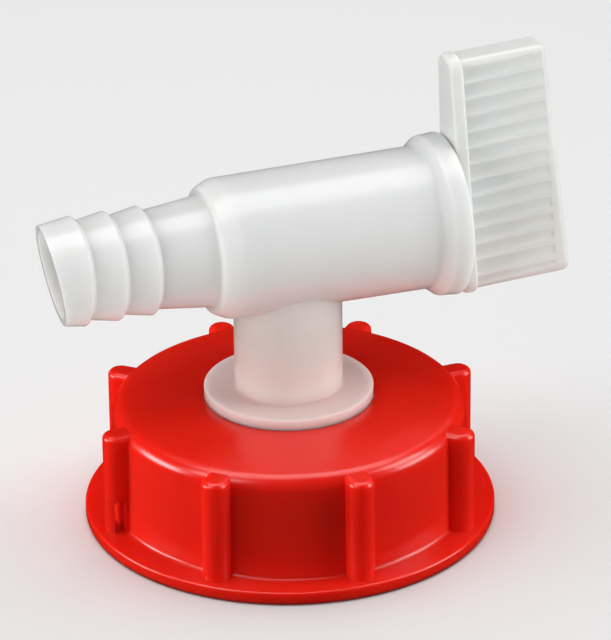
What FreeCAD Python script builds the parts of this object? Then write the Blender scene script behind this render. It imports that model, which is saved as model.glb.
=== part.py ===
import FreeCAD, Part
import math
import os
import re

import Sketcher
from FreeCAD import Placement, Rotation, Vector

# Drum drain cock: a plug cock on a screw cap for a 60 mm container thread.
# Z runs up the neck of the cap, X along the barrel. The hose tail points to -X.
# The origin is the centre of the cap's rest face. At rest the handle stands up
# and the valve is shut; a quarter turn about X opens it.

SIZES = {
    # screw cap: the bore takes the container's thread
    "cap_bore_dia": 60.4,
    "cap_wall": 3.55,
    "wall_draft": 0.3,
    "wall_foot_fillet": 0.8,
    "flange_width": 5.25,
    "flange_thickness": 2.4,
    "flange_round": 0.5,
    "cap_shoulder_height": 22.95,
    "cap_shoulder_round": 2.8,
    "crown_rise": 1.2,
    "crown_thickness": 3.35,
    "relief_step": 1.8,
    "swivel_side_gap": 0.45,
    "swivel_hole_chamfer": 0.4,
    # lugs round the cap
    "lug_count": 8,
    "lug_width": 5.0,
    "lug_reach": 3.65,
    "lug_bite": 2.6,
    "lug_drop": 0.4,
    "lug_round": 1.3,
    "lug_phase": 2.6,
    "seal_slot_offset": 0.45,
    "seal_slot_width": 2.0,
    "seal_slot_height": 5.2,
    # threaded insert that the cap turns round, and its seals
    "swivel_gap": 0.35,
    "insert_side_gap": 0.9,
    "insert_wall": 2.8,
    "insert_flange_thickness": 2.6,
    "spanner_notch_count": 4,
    "spanner_notch_width": 3.0,
    "spanner_notch_depth": 1.6,
    "thread_clearance": 0.1,
    "neck_seal_width": 1.6,
    "neck_seal_thickness": 1.9,
    "rim_gasket_width": 6.5,
    "rim_gasket_thickness": 3.0,
    "gasket_gap": 0.05,
    # neck of the tap
    "shoulder_dia": 32.0,
    "shoulder_thickness": 2.1,
    "shoulder_sink": 0.05,
    "neck_rise": 32.1,
    "neck_dia": 20.4,
    "neck_wall": 2.6,
    "neck_fillet": 1.0,
    "neck_stub_length": 9.0,
    "stub_chamfer": 0.8,
    # barrel
    "plug_bore_dia": 22.0,
    "barrel_wall": 2.5,
    "barrel_taper": 0.3,
    "barrel_back": 16.3,
    "barrel_back_flat": 0.2,
    "barrel_end_wall": 3.6,
    # collar at the handle end of the barrel
    "collar_ramp": 25.9,
    "collar_ramp_length": 2.1,
    "collar_length": 3.6,
    "collar_height": 1.75,
    "collar_swell": 0.25,
    "collar_round": 0.5,
    "collar_recess_width": 2.2,
    "collar_recess_depth": 2.5,
    "snap_setback": 8.8,
    "snap_half_width": 1.4,
    "snap_height": 0.6,
    # hose tail
    "tail_bore_dia": 16.2,
    "tail_wall": 1.55,
    "tail_root_swell": 1.05,
    "barb_count": 3,
    "barb_height": 0.6,
    "barb_pitch": 6.45,
    "barb_fall": 2.0,
    "barb_setback": 4.6,
    "mouth_reach": 45.5,
    "mouth_tilt": 9.3,
    "mouth_wall": 1.1,
    "mouth_round": 0.8,
    # plug
    "running_clearance": 0.05,
    "axial_gap": 0.3,
    "plug_wall": 3.5,
    "plug_core_depth": 13.0,
    "core_tip": 2.0,
    "port_step": 0.6,
    "front_ring_setback": 3.0,
    "rear_ring_setback": 5.4,
    "ring_section": 2.0,
    "ring_slack": 0.4,
    # quarter-turn stop
    "quarter_turn": 90.0,
    "stop_key_angle": 30.0,
    "stop_slack_angle": 1.5,
    "stop_depth": 1.9,
    "stop_key_clearance": 0.25,
    "key_bite": 0.2,
    # hub and tang that carry the handle
    "hub_margin": 0.3,
    "hub_bite": 1.2,
    "tang_width": 6.6,
    "tang_height": 15.0,
    "tang_length": 11.0,
    "tang_clearance": 0.05,
    "tang_end_gap": 0.5,
    # handle
    "handle_gap": 1.1,
    "handle_rake": 2.9,
    "handle_foot": 15.5,
    "handle_top": 32.1,
    "handle_foot_width": 13.8,
    "handle_top_width": 7.0,
    "handle_foot_round": 3.6,
    "handle_top_flat": 0.3,
    "rim_thickness": 2.4,
    "rim_round": 0.9,
    "rim_front_round": 0.4,
    "grip_inset": 0.6,
    "grip_length": 20.8,
    "grip_end_tilt": 2.9,
    "grip_end_round": 2.2,
    "handle_wall": 1.6,
    "socket_wall": 2.2,
    "flute_count": 14,
    "flute_land": 0.3,
    "flute_depth": 0.6,
    "flute_foot_margin": 2.2,
    "flute_top_margin": 3.8,
    # how far a cutter runs past the face that it cuts
    "overrun": 1.0,
}

# Sizes that follow from the ones above.
DERIVED = {
    "wall_foot_dia": "cap_bore_dia + 2 * cap_wall",
    "wall_head_dia": "wall_foot_dia - 2 * wall_draft",
    "flange_dia": "wall_foot_dia + 2 * flange_width",
    "cap_crown_height": "cap_shoulder_height + crown_rise",
    "cap_cavity_depth": "cap_crown_height - crown_thickness",
    "cap_relief_dia": "cap_bore_dia - 2 * relief_step",
    "swivel_hole_dia": "shoulder_dia + 2 * swivel_side_gap",
    "lug_top_height": "cap_shoulder_height - lug_drop",
    "seal_slot_top": "flange_thickness + seal_slot_height",
    "insert_flange_dia": "cap_relief_dia - 2 * insert_side_gap",
    "insert_flange_top": "cap_cavity_depth - swivel_gap",
    "insert_flange_base": "insert_flange_top - insert_flange_thickness",
    "gasket_base": "insert_flange_base - rim_gasket_thickness",
    "cap_bore_depth": "gasket_base - gasket_gap",
    "neck_thread_dia": "shoulder_dia - 2 * insert_wall",
    "neck_seal_dia": "neck_thread_dia + 2 * neck_seal_width",
    "rim_gasket_bore": "insert_flange_dia - 2 * rim_gasket_width",
    "shoulder_height": "cap_crown_height - shoulder_sink",
    "axis_height": "shoulder_height + neck_rise",
    "inlet_bore_dia": "neck_dia - 2 * neck_wall",
    "barrel_head_dia": "plug_bore_dia + 2 * barrel_wall",
    "barrel_tail_dia": "barrel_head_dia - 2 * barrel_taper",
    "plug_seat_depth": "barrel_back - barrel_end_wall",
    "collar_start": "collar_ramp + collar_ramp_length",
    "collar_end": "collar_start + collar_length",
    "collar_dia": "barrel_head_dia + 2 * collar_height",
    "collar_end_dia": "collar_dia + 2 * collar_swell",
    "collar_recess_dia": "plug_bore_dia + 2 * collar_recess_width",
    "collar_ledge": "collar_end - collar_recess_depth",
    "snap_position": "collar_end - snap_setback",
    "tail_valley_dia": "tail_bore_dia + 2 * tail_wall",
    "tail_root_dia": "tail_valley_dia + 2 * tail_root_swell",
    "barrel_back_round": "(barrel_tail_dia - tail_root_dia) / 2 - barrel_back_flat",
    "barb_dia": "tail_valley_dia + 2 * barb_height",
    "tail_blank": "mouth_reach + barb_dia / 2 * tan(mouth_tilt * 1 deg) + overrun",
    "plug_dia": "plug_bore_dia - 2 * running_clearance",
    "plug_core_dia": "plug_bore_dia - 2 * plug_wall",
    "port_dia": "inlet_bore_dia - 2 * port_step",
    "front_ring_position": "plug_seat_depth - front_ring_setback",
    "rear_ring_position": "snap_position - rear_ring_setback",
    "hub_dia": "sqrt(tang_width ^ 2 + tang_height ^ 2) + 2 * hub_margin",
    "handle_seat": "collar_end + handle_gap",
    "handle_top_round": "handle_top_width / 2 - handle_top_flat",
    "flank_slope": "(handle_foot_width - handle_top_width) / 2 / (handle_foot + handle_top)",
    "socket_depth": "tang_length + tang_end_gap",
    "flute_pitch": "(handle_foot + handle_top - flute_foot_margin - flute_top_margin) / flute_count",
    "first_flute": "flute_foot_margin + flute_pitch / 2 - handle_foot",
}

document = FreeCAD.newDocument("drum_drain_cock")
sheet = document.addObject("Spreadsheet::Sheet", "Sizes")
cells = list(SIZES.items()) + [(alias, "=" + text) for alias, text in DERIVED.items()]
for row, (alias, content) in enumerate(cells, 1):
    sheet.set("A%d" % row, alias)
    sheet.set("B%d" % row, str(content))
    sheet.setAlias("B%d" % row, alias)
document.recompute()


def formula(text):
    """Point each size named in a formula to its cell in the sheet."""
    def point(match):
        name = match.group()
        return "Sizes." + name if name in SIZES or name in DERIVED else name
    return re.sub(r"[a-z][a-z_]+", point, str(text))


def value(text):
    """Work a formula out to a plain number."""
    result = sheet.evalExpression(formula(text))
    return float(getattr(result, "Value", result))


def bind(thing, path, text):
    thing.setExpression(path, formula(text))


def make_body(label):
    body = document.addObject("PartDesign::Body", label)
    body.Label = label
    return body


def origin_item(body, role):
    for item in body.Origin.OriginFeatures:
        if item.Role == role:
            return item
    raise LookupError(role)


def make_sketch(body, name, plane, offset=None, rake=None):
    """Attach a sketch to one of the body's own planes, moved along its normal."""
    sketch = body.newObject("Sketcher::SketchObject", name)
    sketch.AttachmentSupport = (origin_item(body, plane), [""])
    sketch.MapMode = "FlatFace"
    if offset is not None or rake is not None:
        angle = value(rake) if rake is not None else 0.0
        turn = Rotation(Vector(1, 0, 0), angle)
        sketch.AttachmentOffset = Placement(Vector(0, 0, value(offset or 0)), turn)
        bind(sketch, "AttachmentOffset.Base.z", offset or 0)
    if rake is not None:
        bind(sketch, "AttachmentOffset.Rotation.Angle", rake)
    return sketch


def pin(sketch, edge, point, across, along):
    """Tie a point of an edge to its formulas, measured from the sketch's origin."""
    for kind, axis, text in (("DistanceX", -2, across), ("DistanceY", -1, along)):
        if str(text) == "0":
            sketch.addConstraint(Sketcher.Constraint("PointOnObject", edge, point, axis))
            continue
        number = sketch.addConstraint(Sketcher.Constraint(kind, -1, 1, edge, point, value(text)))
        bind(sketch, "Constraints[%d]" % number, text)


def draw_polygon(sketch, corners):
    """Draw a closed outline of straight edges. Each corner is a pair of formulas."""
    points = [Vector(value(across), value(along), 0) for across, along in corners]
    first = sketch.GeometryCount
    total = len(points)
    for number, point in enumerate(points):
        sketch.addGeometry(Part.LineSegment(point, points[(number + 1) % total]), False)
    for number in range(total):
        following = first + (number + 1) % total
        sketch.addConstraint(Sketcher.Constraint("Coincident", first + number, 2, following, 1))
    for number, (across, along) in enumerate(corners):
        pin(sketch, first + number, 1, across, along)


def draw_rounded(sketch, corners, radii):
    """Draw a convex outline with rounded corners, given anticlockwise."""
    spots = [Vector(value(across), value(along), 0) for across, along in corners]
    total = len(spots)
    marks, arcs, entries, exits = [], [], [], []
    for number, spot in enumerate(spots):
        ahead = spots[(number + 1) % total] - spot
        behind = spots[number - 1] - spot
        half_angle = ahead.getAngle(behind) / 2
        ahead, behind = ahead * (1 / ahead.Length), behind * (1 / behind.Length)
        radius = value(radii[number])
        inward = ahead + behind
        centre = spot + inward * (radius / math.sin(half_angle) / inward.Length)
        entries.append(spot + behind * (radius / math.tan(half_angle)))
        exits.append(spot + ahead * (radius / math.tan(half_angle)))
        start = math.atan2(entries[-1].y - centre.y, entries[-1].x - centre.x)
        sweep = math.pi - 2 * half_angle
        circle = Part.Circle(centre, Vector(0, 0, 1), radius)
        arcs.append(sketch.addGeometry(Part.ArcOfCircle(circle, start, start + sweep), False))
        marks.append(sketch.addGeometry(Part.Point(spot), True))
        pin(sketch, marks[-1], 1, *corners[number])
    for number in range(total):
        following = (number + 1) % total
        side = sketch.addGeometry(Part.LineSegment(exits[number], entries[following]), False)
        sketch.addConstraint(Sketcher.Constraint("Tangent", arcs[number], 2, side, 1))
        sketch.addConstraint(Sketcher.Constraint("Tangent", side, 2, arcs[following], 1))
        sketch.addConstraint(Sketcher.Constraint("PointOnObject", marks[number], 1, side))
        sketch.addConstraint(Sketcher.Constraint("PointOnObject", marks[following], 1, side))
    for arc, radius in zip(arcs, radii):
        tie = sketch.addConstraint(Sketcher.Constraint("Radius", arc, value(radius)))
        bind(sketch, "Constraints[%d]" % tie, radius)


def draw_circle(sketch, across, along, diameter):
    centre = Vector(value(across), value(along), 0)
    edge = sketch.addGeometry(Part.Circle(centre, Vector(0, 0, 1), value(diameter) / 2), False)
    pin(sketch, edge, 3, across, along)
    number = sketch.addConstraint(Sketcher.Constraint("Diameter", edge, value(diameter)))
    bind(sketch, "Constraints[%d]" % number, diameter)


def draw_sector(sketch, inner, outer, start, end):
    """Draw a ring sector about the origin between two radii and two angles."""
    low, high = math.radians(value(start)), math.radians(value(end))
    arcs = []
    for radius in (inner, outer):
        circle = Part.Circle(Vector(0, 0, 0), Vector(0, 0, 1), value(radius))
        arcs.append(sketch.addGeometry(Part.ArcOfCircle(circle, low, high), False))
    sides = []
    for angle in (low, high):
        ray = Vector(math.cos(angle), math.sin(angle), 0)
        line = Part.LineSegment(ray * value(inner), ray * value(outer))
        sides.append(sketch.addGeometry(line, False))
    for arc, end_of_side in zip(arcs, (1, 2)):
        sketch.addConstraint(Sketcher.Constraint("Coincident", arc, 3, -1, 1))
        sketch.addConstraint(Sketcher.Constraint("Coincident", arc, 1, sides[0], end_of_side))
        sketch.addConstraint(Sketcher.Constraint("Coincident", arc, 2, sides[1], end_of_side))
    for arc, radius in zip(arcs, (inner, outer)):
        number = sketch.addConstraint(Sketcher.Constraint("Radius", arc, value(radius)))
        bind(sketch, "Constraints[%d]" % number, radius)
    for side, angle in zip(sides, (start, end)):
        sketch.addConstraint(Sketcher.Constraint("PointOnObject", -1, 1, side))
        number = sketch.addConstraint(Sketcher.Constraint("Angle", side, math.radians(value(angle))))
        bind(sketch, "Constraints[%d]" % number, angle)


def settled(feature):
    """Recompute, and refuse a feature that comes out without a shape."""
    document.recompute()
    if feature.Shape.isNull() or {"Invalid", "Error"} & set(feature.State):
        raise ValueError("%s failed" % feature.Name)
    return feature


def turn(body, name, corners, axis, cut=False):
    """Revolve an outline in the XZ plane about the sketch's own axis."""
    sketch = make_sketch(body, name + "Section", "XZ_Plane")
    draw_polygon(sketch, corners)
    kind = "PartDesign::Groove" if cut else "PartDesign::Revolution"
    before = body.Shape.Volume if cut else 0
    feature = body.newObject(kind, name)
    feature.Profile = sketch
    feature.ReferenceAxis = (sketch, [axis])
    feature.Angle = 360.0
    settled(feature)
    if cut and not feature.Shape.Volume < before - 0.001:
        raise ValueError(name + " removes nothing")
    return feature


def pad(body, name, sketch, length, backwards=False):
    feature = body.newObject("PartDesign::Pad", name)
    feature.Profile = sketch
    feature.Reversed = backwards
    bind(feature, "Length", length)
    return settled(feature)


def pocket(body, name, sketch, depth, backwards=False, both_ways=False):
    before = body.Shape.Volume
    feature = body.newObject("PartDesign::Pocket", name)
    feature.Profile = sketch
    feature.Reversed = backwards
    feature.Midplane = both_ways
    bind(feature, "Length", depth)
    settled(feature)
    if not feature.Shape.Volume < before - 0.001:
        raise ValueError(name + " removes nothing")
    return feature


def repeat_round(body, name, feature, count):
    """Repeat a feature evenly about the body's Z axis."""
    pattern = body.newObject("PartDesign::PolarPattern", name)
    pattern.Originals = [feature]
    pattern.Axis = (origin_item(body, "Z_Axis"), [""])
    pattern.Angle = 360.0
    bind(pattern, "Occurrences", count)
    body.Tip = pattern
    return settled(pattern)


def round_edges(body, name, wanted, radius, chamfer=False):
    """Round or chamfer the edges of the body's tip that pass a test."""
    base = body.Tip
    names = ["Edge%d" % (i + 1) for i, edge in enumerate(base.Shape.Edges) if wanted(edge)]
    if not names:
        raise LookupError(name + " finds no edge")
    feature = body.newObject("PartDesign::Chamfer" if chamfer else "PartDesign::Fillet", name)
    feature.Base = (base, names)
    bind(feature, "Size" if chamfer else "Radius", radius)
    return settled(feature)


def is_circle(edge, radius, axis, station):
    """Is the edge a whole circle of this radius about X or Z, at this station on it?"""
    if edge.Curve.TypeId != "Part::GeomCircle" or not edge.Closed:
        return False
    centre = edge.Curve.Center
    place = centre.x if axis == "x" else centre.z
    off_axis = math.hypot(centre.y, centre.z if axis == "x" else centre.x)
    close = abs(edge.Curve.Radius - value(radius)) < 0.01 and abs(place - value(station)) < 0.01
    return close and off_axis < 0.01


def make_ring(label, bore, outside, base, thickness):
    """A flat seal about the neck axis."""
    body = make_body(label)
    inner, outer, top = "(%s) / 2" % bore, "(%s) / 2" % outside, "%s + %s" % (base, thickness)
    turn(body, "Ring", [(inner, base), (outer, base), (outer, top), (inner, top)], "V_Axis")
    return body


def make_screw_cap():
    body = make_body("screw_cap")
    bore, crown = "cap_bore_dia / 2", "swivel_hole_dia / 2"
    turn(body, "Shell", [
        (bore, "0"),
        ("flange_dia / 2", "0"),
        ("flange_dia / 2", "flange_thickness"),
        ("wall_foot_dia / 2", "flange_thickness"),
        ("wall_head_dia / 2", "cap_shoulder_height"),
        (crown, "cap_crown_height"),
        (crown, "cap_cavity_depth"),
        ("cap_relief_dia / 2", "cap_cavity_depth"),
        ("cap_relief_dia / 2", "cap_bore_depth"),
        (bore, "cap_bore_depth"),
    ], "V_Axis")
    round_edges(body, "ShoulderRound",
                lambda e: is_circle(e, "wall_head_dia / 2", "z", "cap_shoulder_height"), "cap_shoulder_round")
    round_edges(body, "HoleChamfer",
                lambda e: is_circle(e, crown, "z", "cap_crown_height"), "swivel_hole_chamfer", chamfer=True)
    round_edges(body, "FootFillet",
                lambda e: is_circle(e, "wall_foot_dia / 2", "z", "flange_thickness"), "wall_foot_fillet")
    round_edges(body, "FlangeRound",
                lambda e: is_circle(e, "flange_dia / 2", "z", "flange_thickness")
                or is_circle(e, "flange_dia / 2", "z", "0"), "flange_round")
    add_lugs(body)
    body.Placement = Placement(Vector(0, 0, 0), Rotation(Vector(0, 0, 1), value("lug_phase")))
    bind(body, "Placement.Rotation.Angle", "lug_phase")
    return body


def add_lugs(body):
    """Half-round lugs, one drilled for a seal wire at its foot."""
    root = "wall_head_dia / 2 - lug_bite"
    nose = "wall_foot_dia / 2 + lug_reach - lug_width / 2"
    sketch = make_sketch(body, "LugPlan", "XY_Plane", "flange_thickness / 2")
    draw_lug(sketch, root, nose)
    lug = pad(body, "Lug", sketch, "lug_top_height - flange_thickness / 2")
    repeat_round(body, "Lugs", lug, "lug_count")
    top = value("lug_top_height")
    round_edges(body, "LugRound",
                lambda e: all(abs(v.Z - top) < 0.001 for v in e.Vertexes)
                and abs(e.CenterOfMass.z - top) < 0.001
                and e.Length < value("lug_width") * 2
                and math.hypot(e.CenterOfMass.x, e.CenterOfMass.y) > value("wall_head_dia / 2"),
                "lug_round")
    near = "-(wall_foot_dia / 2 + seal_slot_offset)"
    far = near + " - seal_slot_width"
    arch = "seal_slot_top - seal_slot_width / 2"
    hole = make_sketch(body, "SealSlotSide", "XZ_Plane")
    draw_polygon(hole, [(near, "flange_thickness"), (near, arch), (far, arch), (far, "flange_thickness")])
    pocket(body, "SealSlot", hole, "lug_width + 2 * overrun", both_ways=True)
    arch_sketch = make_sketch(body, "SealArchSide", "XZ_Plane")
    draw_circle(arch_sketch, near + " - seal_slot_width / 2", arch, "seal_slot_width")
    pocket(body, "SealArch", arch_sketch, "lug_width + 2 * overrun", both_ways=True)


def draw_lug(sketch, root, nose):
    """A bar along +X with a half-round nose."""
    half = value("lug_width / 2")
    inner, outer = value(root), value(nose)
    lines = [
        (Vector(inner, half, 0), Vector(inner, -half, 0)),
        (Vector(inner, -half, 0), Vector(outer, -half, 0)),
        (Vector(outer, half, 0), Vector(inner, half, 0)),
    ]
    back, right, left = [sketch.addGeometry(Part.LineSegment(a, b), False) for a, b in lines]
    circle = Part.Circle(Vector(outer, 0, 0), Vector(0, 0, 1), half)
    arc = sketch.addGeometry(Part.ArcOfCircle(circle, -math.pi / 2, math.pi / 2), False)
    for one, following in ((back, right), (right, arc), (arc, left), (left, back)):
        sketch.addConstraint(Sketcher.Constraint("Coincident", one, 2, following, 1))
    pin(sketch, back, 1, root, "lug_width / 2")
    pin(sketch, back, 2, root, "-lug_width / 2")
    pin(sketch, right, 2, nose, "-lug_width / 2")
    pin(sketch, left, 1, nose, "lug_width / 2")
    number = sketch.addConstraint(Sketcher.Constraint("DistanceX", -1, 1, arc, 3, outer))
    bind(sketch, "Constraints[%d]" % number, nose)


def make_swivel_insert():
    """Threaded boss with a flange under the cap's crown, which holds the cap on."""
    body = make_body("swivel_insert")
    bore = "neck_thread_dia / 2 + thread_clearance"
    boss = "shoulder_dia / 2"
    seat = "neck_seal_dia / 2 + thread_clearance"
    skirt = "shoulder_height - neck_stub_length"
    turn(body, "Boss", [
        (bore, skirt),
        (boss, skirt),
        (boss, "insert_flange_base"),
        ("insert_flange_dia / 2", "insert_flange_base"),
        ("insert_flange_dia / 2", "insert_flange_top"),
        (boss, "insert_flange_top"),
        (boss, "shoulder_height"),
        (seat, "shoulder_height"),
        (seat, "shoulder_height - neck_seal_thickness"),
        (bore, "shoulder_height - neck_seal_thickness"),
    ], "V_Axis")
    notch = make_sketch(body, "NotchPlan", "XY_Plane", skirt)
    half = "spanner_notch_width / 2"
    inside, outside = "neck_thread_dia / 2 - overrun", "shoulder_dia / 2 + overrun"
    draw_polygon(notch, [(inside, "-" + half), (outside, "-" + half), (outside, half), (inside, half)])
    slot = pocket(body, "SpannerNotch", notch, "spanner_notch_depth", backwards=True)
    repeat_round(body, "SpannerNotches", slot, "spanner_notch_count")
    return body


def make_tap_body():
    body = make_body("tap_body")
    turn(body, "Barrel", barrel_corners(), "H_Axis")
    turn(body, "Neck", neck_corners(), "V_Axis")
    round_edges(body, "BarrelBackRound",
                lambda e: is_circle(e, "barrel_tail_dia / 2", "x", "-barrel_back"), "barrel_back_round")
    shoulder_top = "shoulder_height + shoulder_thickness - axis_height"
    round_edges(body, "NeckFillet", lambda e: is_circle(e, "neck_dia / 2", "z", shoulder_top), "neck_fillet")
    round_edges(body, "CollarRound",
                lambda e: is_circle(e, "collar_end_dia / 2", "x", "collar_end"), "collar_round")
    stub_end = "shoulder_height - neck_stub_length - axis_height"
    round_edges(body, "StubChamfer",
                lambda e: is_circle(e, "neck_thread_dia / 2", "z", stub_end), "stub_chamfer", chamfer=True)
    turn(body, "PlugBore", bore_corners(), "H_Axis", cut=True)
    inlet, inlet_top, inlet_end = "inlet_bore_dia / 2", "-plug_bore_dia / 4", stub_end + " - overrun"
    turn(body, "InletBore", [("0", inlet_top), ("0", inlet_end), (inlet, inlet_end), (inlet, inlet_top)],
         "V_Axis", cut=True)
    cut_mouth(body)
    cut_stop_slot(body)
    body.Placement = Placement(Vector(0, 0, value("axis_height")), Rotation())
    bind(body, "Placement.Base.z", "axis_height")
    return body


def barrel_corners():
    """Half section of tail, barrel and collar, from the mouth to the handle end."""
    corners = [("-tail_blank", "0"), ("-tail_blank", "tail_bore_dia / 2 + mouth_wall")]
    for barb in range(int(value("barb_count"))):
        peak = "barb_setback + %d * barb_pitch - mouth_reach" % barb
        corners.append((peak, "barb_dia / 2"))
        corners.append((peak + " + barb_fall", "tail_valley_dia / 2"))
    corners += [
        ("-barrel_back", "tail_root_dia / 2"),
        ("-barrel_back", "barrel_tail_dia / 2"),
        ("collar_ramp", "barrel_head_dia / 2"),
        ("collar_start", "collar_dia / 2"),
        ("collar_end", "collar_end_dia / 2"),
        ("collar_end", "0"),
    ]
    return corners


def neck_corners():
    """Half section of neck, shoulder and threaded stub, measured from the barrel's axis."""
    stub_end = "shoulder_height - neck_stub_length - axis_height"
    shoulder = "shoulder_height - axis_height"
    neck_top = "-plug_bore_dia / 4"
    return [
        ("0", neck_top),
        ("0", stub_end),
        ("neck_thread_dia / 2", stub_end),
        ("neck_thread_dia / 2", shoulder),
        ("shoulder_dia / 2", shoulder),
        ("shoulder_dia / 2", shoulder + " + shoulder_thickness"),
        ("neck_dia / 2", shoulder + " + shoulder_thickness"),
        ("neck_dia / 2", neck_top),
    ]


def bore_corners():
    """Half section of the hollow: hose bore, plug seat, snap groove and collar recess."""
    far_left, far_right = "-tail_blank - overrun", "collar_end + overrun"
    plug, recess = "plug_bore_dia / 2", "collar_recess_dia / 2"
    return [
        (far_left, "0"),
        (far_left, "tail_bore_dia / 2"),
        ("-plug_seat_depth", "tail_bore_dia / 2"),
        ("-plug_seat_depth", plug),
        ("snap_position - snap_half_width", plug),
        ("snap_position", plug + " + snap_height + running_clearance"),
        ("snap_position + snap_half_width", plug),
        ("collar_ledge", plug),
        ("collar_ledge", recess),
        (far_right, recess),
        (far_right, "0"),
    ]


def cut_mouth(body):
    """Cut the hose end off at a slant and round its lip."""
    side = make_sketch(body, "MouthSide", "XZ_Plane")
    top, bottom = "barb_dia", "-barb_dia"
    draw_polygon(side, [
        ("-mouth_reach - barb_dia * tan(mouth_tilt)", top),
        ("-mouth_reach * 2", top),
        ("-mouth_reach * 2", bottom),
        ("-mouth_reach + barb_dia * tan(mouth_tilt)", bottom),
    ])
    pocket(body, "Mouth", side, "barb_dia * 2", both_ways=True)
    face = min(body.Shape.Faces, key=lambda f: f.CenterOfMass.x)
    lip = [edge.CenterOfMass for edge in face.OuterWire.Edges]
    round_edges(body, "MouthRound", lambda e: any(e.CenterOfMass.isEqual(point, 0.001) for point in lip),
                "mouth_round")


def cut_stop_slot(body):
    """Arc slot in the collar's ledge, which lets the plug's key swing a quarter turn."""
    sketch = make_sketch(body, "StopSlotFace", "YZ_Plane", "collar_ledge")
    draw_sector(sketch, "plug_bore_dia / 2 - overrun", "collar_recess_dia / 2",
                "90 - quarter_turn / 2 - stop_key_angle / 2 - stop_slack_angle",
                "90 + quarter_turn / 2 + stop_key_angle / 2 + stop_slack_angle")
    pocket(body, "StopSlot", sketch, "stop_depth")


def make_plug():
    """Hollow plug with a side port, two ring grooves, a snap bead, a stop key and a tang."""
    body = make_body("plug")
    body.Placement = Placement(Vector(0, 0, value("axis_height")), Rotation())
    bind(body, "Placement.Base.z", "axis_height")
    turn(body, "Spindle", plug_corners(), "H_Axis")
    core, start = "plug_core_dia / 2", "-plug_seat_depth - overrun"
    turn(body, "Core", [
        (start, "0"),
        (start, core),
        ("plug_core_depth", core),
        ("plug_core_depth + core_tip", "0"),
    ], "H_Axis", cut=True)
    port = make_sketch(body, "PortFace", "XZ_Plane")
    draw_circle(port, "0", "0", "port_dia")
    pocket(body, "Port", port, "plug_bore_dia", backwards=True)
    add_stop_key(body)
    add_tang(body)
    return body


def plug_corners():
    skin = "plug_dia / 2"
    floor = skin + " - ring_section - running_clearance"
    front, rear = "-front_ring_position", "rear_ring_position"
    ledge = "collar_ledge + axial_gap"
    face = "collar_end - axial_gap"
    head = "collar_recess_dia / 2 - stop_key_clearance"
    half = "(ring_section + ring_slack) / 2"
    return [
        ("-plug_seat_depth + axial_gap", "0"),
        ("-plug_seat_depth + axial_gap", skin),
        (front + " - " + half, skin),
        (front + " - " + half, floor),
        (front + " + " + half, floor),
        (front + " + " + half, skin),
        (rear + " - " + half, skin),
        (rear + " - " + half, floor),
        (rear + " + " + half, floor),
        (rear + " + " + half, skin),
        ("snap_position - snap_half_width + axial_gap", skin),
        ("snap_position", skin + " + snap_height - axial_gap / 2"),
        ("snap_position + snap_half_width - axial_gap", skin),
        (ledge, skin),
        (ledge, head),
        (face, head),
        (face, "0"),
    ]


def add_stop_key(body):
    """Key under the plug's head. At rest it lies at the slot's lower end."""
    sketch = make_sketch(body, "StopKeyFace", "YZ_Plane", "collar_ledge + axial_gap + key_bite")
    middle = "90 - quarter_turn / 2"
    draw_sector(sketch, "plug_dia / 2 - overrun", "collar_recess_dia / 2 - stop_key_clearance",
                middle + " - stop_key_angle / 2", middle + " + stop_key_angle / 2")
    pad(body, "StopKey", sketch, "stop_depth + key_bite - axial_gap / 2", backwards=True)


def add_tang(body):
    """Round hub and flat tang for the handle, raked like the handle."""
    hub = make_sketch(body, "HubFace", "YZ_Plane", "handle_seat", "-handle_rake")
    draw_circle(hub, "0", "0", "hub_dia")
    pad(body, "Hub", hub, "handle_gap + hub_bite", backwards=True)
    tang = make_sketch(body, "TangFace", "YZ_Plane", "handle_seat", "-handle_rake")
    side, end = "tang_width / 2", "tang_height / 2"
    draw_polygon(tang, [(side, end), ("-" + side, end), ("-" + side, "-" + end), (side, "-" + end)])
    pad(body, "Tang", tang, "tang_length")


def make_handle():
    """Fluted paddle, cored from its outer end and pressed on the plug's tang."""
    body = make_body("handle")
    rim = make_sketch(body, "RimOutline", "YZ_Plane")
    draw_paddle(rim, "0")
    pad(body, "Rim", rim, "rim_thickness")
    round_edges(body, "RimBackRound", lambda e: e.BoundBox.XMax < 0.001, "rim_round")
    front = value("rim_thickness")
    round_edges(body, "RimFrontRound", lambda e: e.BoundBox.XMin > front - 0.001, "rim_front_round")
    add_grip(body)
    cut_flutes(body)
    hollow_handle(body)
    seat = Vector(value("handle_seat"), 0, value("axis_height"))
    body.Placement = Placement(seat, Rotation(Vector(0, 1, 0), value("-handle_rake")))
    bind(body, "Placement.Base.x", "handle_seat")
    bind(body, "Placement.Base.z", "axis_height")
    bind(body, "Placement.Rotation.Angle", "-handle_rake")
    return body


def draw_paddle(sketch, inset):
    """Tapered outline about the plug's axis, drawn in by an inset."""
    foot, top = "handle_foot - (%s)" % inset, "handle_top - (%s)" % inset
    wide = "handle_foot_width / 2 - (%s)" % inset
    narrow = "handle_top_width / 2 - (%s)" % inset
    corners = [
        ("-(%s)" % wide, "-(%s)" % foot),
        (wide, "-(%s)" % foot),
        (narrow, top),
        ("-(%s)" % narrow, top),
    ]
    foot_round, top_round = "handle_foot_round - (%s)" % inset, "handle_top_round - (%s)" % inset
    draw_rounded(sketch, corners, [foot_round, foot_round, top_round, top_round])


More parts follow.
